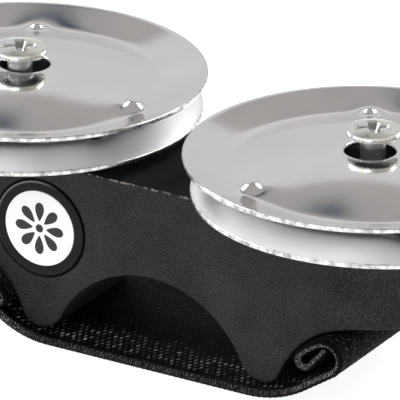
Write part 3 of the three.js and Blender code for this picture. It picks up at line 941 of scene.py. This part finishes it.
def make_strap():
    """The strap's section run along its middle line, with ribs and ridges along its length."""
    line = np.array(strap_line())
    along = np.concatenate([[0], np.cumsum(np.linalg.norm(np.diff(line, axis=0), axis=1))])
    ahead = np.gradient(line, along, axis=0)
    ahead /= np.linalg.norm(ahead, axis=1)[:, None]
    inward = np.stack([ahead[:, 1], -ahead[:, 0]], axis=1)
    section = strap_section()
    points, weave = [], []
    for (x, z), s, (nx, nz) in zip(line, along, inward):
        for v, share, face in section:
            from_edge = STRAP_HALF - abs(v)
            rib = lock = 0.0
            if from_edge > RIB_PITCH:
                rib = RIB_RISE * math.cos(2 * math.pi * v / RIB_PITCH)
            if from_edge < OVERLOCK_WIDTH:
                lock = OVERLOCK_RISE * math.sin(2 * math.pi * s / OVERLOCK_PITCH)
            ridge = RIDGE_RISE * math.exp(-(((from_edge - RIDGE_INSET) / 0.32) ** 2))
            half = STRAP_T / 2 - 0.04 + rib + ridge + lock
            points.append((x + nx * half * share, v, z + nz * half * share))
            weave.append((s - along[-1] / 2, v, face))
    columns = len(section)
    faces = grid_faces(len(line), columns)
    faces.append(tuple(range(columns)))
    faces.append(tuple(range((len(line) - 1) * columns, len(line) * columns))[::-1])
    strap = new_object("elastic_strap", points, faces, 60)
    layer = strap.data.attributes.new("weave", "FLOAT_VECTOR", "POINT")
    layer.data.foreach_set("vector", np.array(weave, np.float32).ravel())
    finish_piece(strap, "elastic_webbing", "block", "finger_strap")


# ---- Studio ----


def make_stage():
    bpy.ops.mesh.primitive_circle_add(vertices=96, radius=FLOOR_RADIUS, fill_type="NGON")
    floor = bpy.context.active_object
    floor.name = "floor"
    floor.location.z = CAD_BOX[0][2] - FLOOR_DROP
    floor.data.materials.append(floor_finish())


def direction_to(azimuth, elevation):
    """The unit vector towards an azimuth, counted from the front, and an elevation, in degrees."""
    a, e = math.radians(azimuth), math.radians(elevation)
    return Vector((math.sin(a) * math.cos(e), -math.cos(a) * math.cos(e), math.sin(e)))


def softbox(name, azimuth, elevation, width, height, power):
    """An area light, placed by its direction from the object and turned to face it."""
    back = direction_to(azimuth, elevation)
    light = bpy.data.lights.new(name, "AREA")
    light.shape = "RECTANGLE"
    light.size, light.size_y, light.energy = width, height, power
    made = bpy.data.objects.new(name, light)
    bpy.context.scene.collection.objects.link(made)
    made.location = LIGHT_AIM + back * LIGHT_DISTANCE
    made.rotation_mode = "QUATERNION"
    made.rotation_quaternion = back.to_track_quat("Z", "Y")


def make_world():
    """A pale surround: bright low down, greyer overhead past a soft uneven border, and one small
    dark blue-grey shape high at the back, all seen only in the steel."""
    world = bpy.data.worlds.new("studio")
    bpy.context.scene.world = world
    world.use_nodes = True
    tree = world.node_tree
    link = tree.links.new

    def node(kind, *values, **settings):
        made = tree.nodes.new("ShaderNode" + kind)
        for key, value in settings.items():
            setattr(made, key, value)
        for index, value in enumerate(values):
            if isinstance(value, bpy.types.NodeSocket):
                link(value, made.inputs[index])
            elif value is not None:
                made.inputs[index].default_value = value
        return made

    def math_of(operation, *values):
        return node("Math", *values, operation=operation).outputs[0]

    def smooth(value, low, high):
        made = node("MapRange", value, low, high, 0, 1, interpolation_type="SMOOTHSTEP")
        return made.outputs[0]

    def blend(factor, first, second):
        made = node("Mix", data_type="RGBA")
        link(factor, made.inputs[0])
        for index, value in ((6, first), (7, second)):
            if isinstance(value, bpy.types.NodeSocket):
                link(value, made.inputs[index])
            else:
                made.inputs[index].default_value = (*value, 1)
        return made.outputs[2]

    direction = node("TexCoord").outputs["Generated"]
    _, depth, height = node("SeparateXYZ", direction).outputs
    wobble = tree.nodes.new("ShaderNodeTexNoise")
    link(direction, wobble.inputs["Vector"])
    wobble.inputs["Scale"].default_value = 2.6
    wobble.inputs["Detail"].default_value = 1.0
    border = math_of("MULTIPLY_ADD", wobble.outputs["Fac"], 0.22, height)
    overhead = smooth(border, 0.695, 0.735)
    pale = blend(smooth(height, 0.10, 0.42), (0.70, 0.692, 0.688), (0.79, 0.777, 0.768))
    colour = blend(overhead, pale, (0.47, 0.457, 0.449))

    across = (0.797, 0.604, 0.0)
    beside = node("VectorMath", direction, across, operation="DOT_PRODUCT").outputs["Value"]
    narrow = smooth(math_of("ABSOLUTE", beside), 0.085, 0.005)
    short = smooth(math_of("ABSOLUTE", math_of("SUBTRACT", height, 0.783)), 0.10, 0.01)
    behind = node("MapRange", depth, 0.1, 0.3).outputs[0]
    shape = math_of("MULTIPLY", math_of("MULTIPLY", narrow, short), behind)
    colour = blend(shape, colour, (0.05, 0.08, 0.12))
    link(colour, tree.nodes["Background"].inputs[0])
    tree.nodes["Background"].inputs[1].default_value = 1.0


def make_camera():
    """The photograph's view: azimuth, elevation and roll about a point in the object."""
    azimuth, _, roll = map(math.radians, VIEW_ANGLES)
    target = Vector(VIEW_TARGET) * MM
    back = direction_to(*VIEW_ANGLES[:2])
    level = Vector((math.cos(azimuth), math.sin(azimuth), 0))
    upright = back.cross(level)
    right = level * math.cos(roll) + upright * math.sin(roll)
    up = upright * math.cos(roll) - level * math.sin(roll)
    camera = bpy.data.cameras.new("camera")
    camera.sensor_width = SENSOR_WIDTH
    camera.lens = LENS
    camera.clip_start, camera.clip_end = 0.05, 50
    holder = bpy.data.objects.new("camera", camera)
    bpy.context.scene.collection.objects.link(holder)
    turn = Matrix((right, up, back)).transposed().to_4x4()
    holder.matrix_world = Matrix.Translation(target + back * VIEW_DISTANCE * MM) @ turn
    bpy.context.scene.camera = holder


# ---- Build ----

make_camera()
make_body()
make_label()
for word in SIDES:
    make_washer(word)
    for level in ("lower", "upper"):
        make_jingle(word, level)
    make_screw(word)
for place in tack_places():
    make_tack(*place)
make_strap()

make_stage()
make_world()
for name, settings in SOFTBOXES.items():
    softbox(name, *settings)
bpy.context.scene.view_settings.view_transform = "Standard"
